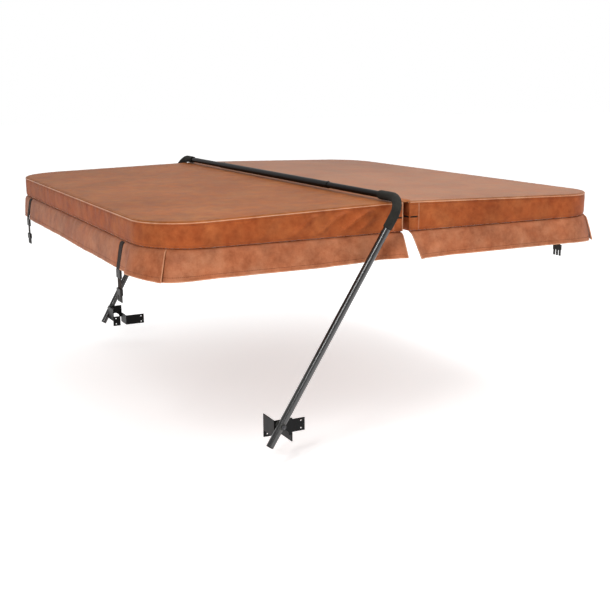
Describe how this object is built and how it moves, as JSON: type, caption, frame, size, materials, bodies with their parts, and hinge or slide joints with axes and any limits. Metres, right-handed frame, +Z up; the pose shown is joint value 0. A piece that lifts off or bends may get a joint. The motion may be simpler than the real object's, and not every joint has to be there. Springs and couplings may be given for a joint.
{
  "type": "spa cover",
  "caption": "Folding tapered spa cover in vinyl over foam, with flared skirt flaps, tie-down straps and a tubular swing-over lifter.",
  "frame": {"origin": "centre of the cover's underside, in the plane of the tub's rim", "axes": "+Z up, +X from the rear half, where the lifter parks the cover, to the front half, +Y along the hinge towards the far side"},
  "size_m": [2.0554, 2.3198, 0.9118],
  "materials": {
    "top_vinyl": "satin",
    "side_vinyl": "satin",
    "skirt_vinyl": "satin",
    "underside_vinyl": "satin",
    "foam": "matte",
    "galvanised_steel": "satin",
    "zipper_tape": "matte",
    "zipper_metal": "satin",
    "webbing": "matte",
    "buckle_plastic": "satin",
    "coated_tube": "gloss",
    "sleeve_foam": "matte",
    "cap_plastic": "satin",
    "bush_nylon": "satin",
    "bracket_steel": "satin",
    "fastener_steel": "satin"
  },
  "bodies": {
    "cabinet_mounts": {"near_bracket": "bracket_steel", "near_pivot_bolt": "fastener_steel", "near_pivot_nut": "fastener_steel", "near_pivot_washers": "bush_nylon", "far_bracket": "bracket_steel", "far_pivot_bolt": "fastener_steel", "far_pivot_nut": "fastener_steel", "far_pivot_washers": "bush_nylon"},
    "lifter": {"near_lower_arm": "coated_tube", "near_elbow_tube": "coated_tube", "near_foam_sleeve": "sleeve_foam", "near_arm_cap": "cap_plastic", "near_pivot_bush": "bush_nylon", "far_lower_arm": "coated_tube", "far_elbow_tube": "coated_tube", "far_foam_sleeve": "sleeve_foam", "far_arm_cap": "cap_plastic", "far_pivot_bush": "bush_nylon", "crossbar": "coated_tube", "lock_screws": "fastener_steel"},
    "rear_half": {"rear_foam_core": "foam", "rear_hinge_channel": "galvanised_steel", "rear_top_panel": "top_vinyl", "rear_side_band": "side_vinyl", "rear_underside_panel": "underside_vinyl", "rear_zipper": "zipper_tape", "rear_end_skirt": "skirt_vinyl", "rear_near_skirt": "skirt_vinyl", "rear_far_skirt": "skirt_vinyl", "rear_near_corner_skirt": "skirt_vinyl", "rear_far_corner_skirt": "skirt_vinyl", "hinge_strip": "top_vinyl"},
    "front_half": {"front_foam_core": "foam", "front_hinge_channel": "galvanised_steel", "front_top_panel": "top_vinyl", "front_side_band": "side_vinyl", "front_underside_panel": "underside_vinyl", "front_zipper": "zipper_tape", "front_end_skirt": "skirt_vinyl", "front_near_skirt": "skirt_vinyl", "front_far_skirt": "skirt_vinyl", "front_near_corner_skirt": "skirt_vinyl", "front_far_corner_skirt": "skirt_vinyl"},
    "rear_zip_pull": {"rear_zipper_slider": "zipper_metal"},
    "front_zip_pull": {"front_zipper_slider": "zipper_metal"},
    "rear_near_tie": {"rear_near_strap": "webbing", "rear_near_strap_adjuster": "buckle_plastic", "rear_near_strap_buckle": "buckle_plastic"},
    "rear_far_tie": {"rear_far_strap": "webbing", "rear_far_strap_adjuster": "buckle_plastic", "rear_far_strap_buckle": "buckle_plastic"},
    "front_near_tie": {"front_near_strap": "webbing", "front_near_strap_adjuster": "buckle_plastic", "front_near_strap_buckle": "buckle_plastic"},
    "front_far_tie": {"front_far_strap": "webbing", "front_far_strap_adjuster": "buckle_plastic", "front_far_strap_buckle": "buckle_plastic"}
  },
  "joints": [
    {"name": "lifter_swing", "type": "hinge", "parent": "cabinet_mounts", "child": "lifter", "pos_m": [-0.53909, 0, -0.67543], "axis": [0, -1, 0], "range_deg": [0, 65]},
    {"name": "rear_hang", "type": "hinge", "parent": "lifter", "child": "rear_half", "pos_m": [-0.062, 0, 0.1345], "axis": [0, -1, 0], "range_deg": [-9.8, 0]},
    {"name": "front_fold", "type": "hinge", "parent": "rear_half", "child": "front_half", "pos_m": [0, 0, 0.124], "axis": [0, -1, 0], "range_deg": [0, 163]},
    {"name": "rear_zip_slide", "type": "slide", "parent": "rear_half", "child": "rear_zip_pull", "axis": [0, 1, 0], "range_m": [0, 1.98]},
    {"name": "front_zip_slide", "type": "slide", "parent": "front_half", "child": "front_zip_pull", "axis": [0, 1, 0], "range_m": [0, 1.98]},
    {"name": "rear_near_tie_swing", "type": "hinge", "parent": "rear_half", "child": "rear_near_tie", "pos_m": [-1.0012, -0.76, -0.003], "axis": [0, 1, 0], "range_deg": [0, 70]},
    {"name": "rear_far_tie_swing", "type": "hinge", "parent": "rear_half", "child": "rear_far_tie", "pos_m": [-1.0012, 0.76, -0.003], "axis": [0, 1, 0], "range_deg": [0, 70]},
    {"name": "front_near_tie_swing", "type": "hinge", "parent": "front_half", "child": "front_near_tie", "pos_m": [1.0012, -0.76, -0.003], "axis": [0, -1, 0], "range_deg": [0, 70]},
    {"name": "front_far_tie_swing", "type": "hinge", "parent": "front_half", "child": "front_far_tie", "pos_m": [1.0012, 0.76, -0.003], "axis": [0, -1, 0], "range_deg": [0, 70]}
  ],
  "couplings": [
    {"joint": "rear_hang", "follows": "lifter_swing", "ratio": -0.15}
  ]
}
